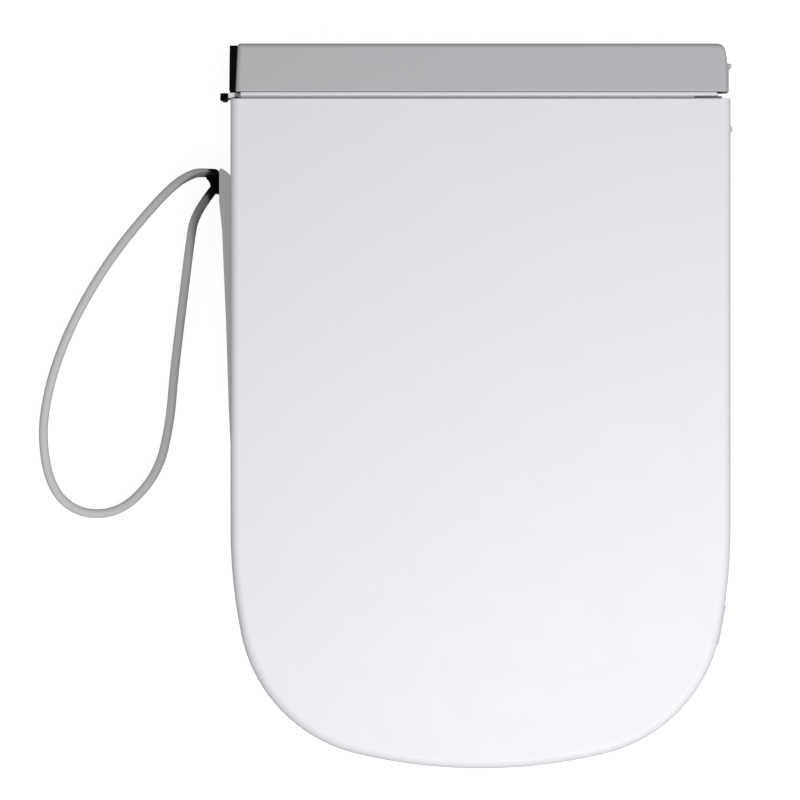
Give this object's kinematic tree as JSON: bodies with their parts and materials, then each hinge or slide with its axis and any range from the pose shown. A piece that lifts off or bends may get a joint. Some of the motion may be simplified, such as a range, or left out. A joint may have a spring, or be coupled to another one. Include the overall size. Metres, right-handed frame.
{
  "type": "handheld label maker",
  "caption": "Handheld thermal label maker with a rounded white body, a hinged grey lid over the label bay, a side release button and a wrist strap.",
  "frame": {"origin": "On the flat back face, on the centreline of the body and half way along its length; the device lies on its back.", "axes": "+X to the label outlet side, +Y along the body to the hinged lid, +Z out of the plain front face."},
  "size_m": [0.107, 0.1116, 0.038],
  "materials": {
    "body_white": "fine textured moulded plastic, slightly lilac white",
    "lid_grey": "fine textured moulded plastic, mid grey",
    "frame_white": "smooth moulded plastic, white",
    "black_plastic": "fine textured black plastic",
    "grey_gear": "slippery natural acetal",
    "steel": "plain steel",
    "plated_screw": "nickel plated",
    "spring_steel": "spring wire",
    "heat_sink": "sawn aluminium",
    "print_ceramic": "glazed white ceramic with a dark dot line",
    "platen_rubber": "ground silicone rubber",
    "strap_grey": "soft smooth elastomer ribbon, mid grey",
    "strap_end_black": "soft black elastomer",
    "label_paper": "wound labels, edges of paper and yellowish liner",
    "core_board": "wound board tube",
    "circuit_green": "solder mask on glass fibre",
    "port_steel": "tinned steel shell",
    "shield_tin": "tin plate",
    "connector_ivory": "ivory nylon",
    "cell_blue": "shrink film over a lithium cell",
    "foam_tape": "foam tape",
    "lead_black": "wire insulation"
  },
  "bodies": {
    "casing": {"front_shell": "body_white", "rear_shell": "body_white", "casing_screws": "plated_screw", "chassis": "frame_white", "chassis_screws": "plated_screw", "hinge_pin": "steel", "latch_spring": "spring_steel", "tear_bar": "steel", "mechanism_frame": "steel", "frame_screws": "plated_screw", "motor_body": "steel", "motor_screws": "plated_screw", "gear_studs": "steel", "gear_clips": "spring_steel", "head_pivot_pin": "steel", "head_springs": "spring_steel", "gap_sensor": "black_plastic", "main_board": "circuit_green", "board_screws": "plated_screw", "usb_port": "port_steel", "usb_insert": "black_plastic", "radio_shield": "shield_tin", "board_chips": "black_plastic", "board_capacitors": "shield_tin", "board_connectors": "connector_ivory", "tact_switch": "black_plastic", "battery_pack": "cell_blue", "battery_tape": "foam_tape", "battery_lead": "lead_black", "print_head_lead": "lead_black", "motor_lead": "lead_black", "strap_pin": "steel", "strap_collar": "strap_end_black", "wrist_strap": "strap_grey"},
    "lid": {"lid_shell": "lid_grey", "lid_liner": "frame_white", "lid_screws": "plated_screw", "hinge_leaf": "black_plastic", "leaf_screws": "plated_screw", "platen_bushings": "black_plastic"},
    "platen": {"platen_roller": "platen_rubber", "platen_shaft": "steel", "platen_gear": "grey_gear"},
    "latch": {"latch_slider": "black_plastic", "release_button": "body_white"},
    "power_key": {"power_button": "body_white"},
    "switch_plunger": {"tact_plunger": "black_plastic"},
    "print_head": {"print_head_plate": "heat_sink", "print_head_ceramic": "print_ceramic", "print_head_connector": "connector_ivory"},
    "motor_rotor": {"motor_shaft": "steel", "motor_pinion": "grey_gear"},
    "compound": {"compound_gear": "grey_gear"},
    "idler": {"idler_gear": "grey_gear"},
    "roll": {"label_roll": "label_paper", "roll_core": "core_board"}
  },
  "joints": [
    {"name": "lid_hinge", "type": "hinge", "parent": "casing", "child": "lid", "pos_m": [-0.0395, 0.0476, 0.019], "axis": [0, 0, 1], "range_deg": [0, 105]},
    {"name": "platen_spin", "type": "hinge", "parent": "lid", "child": "platen", "pos_m": [0.0315, 0.0511, 0.0185], "axis": [0, 0, 1], "continuous": true},
    {"name": "release_slide", "type": "slide", "parent": "casing", "child": "latch", "axis": [-1, 0, 0], "range_m": [0, 0.001], "stiffness_N_per_m": 1200, "springref_m": -0.0008, "deforming": ["latch_spring"]},
    {"name": "power_press", "type": "slide", "parent": "casing", "child": "power_key", "axis": [-0.9829, 0.1842, 0], "range_m": [0, 0.0003], "stiffness_N_per_m": 3000, "springref_m": -0.0001},
    {"name": "switch_press", "type": "slide", "parent": "casing", "child": "switch_plunger", "axis": [-0.9829, 0.1842, 0], "range_m": [0, 0.0003]},
    {"name": "print_head_pivot", "type": "hinge", "parent": "casing", "child": "print_head", "pos_m": [0.0252, 0.0443, 0.0185], "axis": [0, 0, 1], "range_deg": [-1.5, 0], "stiffness_Nm_per_rad": 0.06, "springref_deg": 2.86, "deforming": ["head_springs"]},
    {"name": "motor_spin", "type": "hinge", "parent": "casing", "child": "motor_rotor", "pos_m": [0.0245, 0.0302, 0.026], "axis": [0, 0, 1], "continuous": true},
    {"name": "compound_gear_spin", "type": "hinge", "parent": "casing", "child": "compound", "pos_m": [0.02806, 0.03691, 0.0337], "axis": [0, 0, 1], "continuous": true},
    {"name": "idler_gear_spin", "type": "hinge", "parent": "casing", "child": "idler", "pos_m": [0.0296, 0.04395, 0.0343], "axis": [0, 0, 1], "continuous": true},
    {"name": "label_roll_spin", "type": "hinge", "parent": "casing", "child": "roll", "pos_m": [-0.0135, 0.025, 0.0185], "axis": [0, 0, 1], "continuous": true}
  ],
  "couplings": [
    {"joint": "idler_gear_spin", "follows": "platen_spin", "ratio": -0.54167},
    {"joint": "compound_gear_spin", "follows": "platen_spin", "ratio": 1.0833},
    {"joint": "motor_spin", "follows": "platen_spin", "ratio": -3.0333},
    {"joint": "switch_press", "follows": "power_press", "ratio": 1}
  ]
}
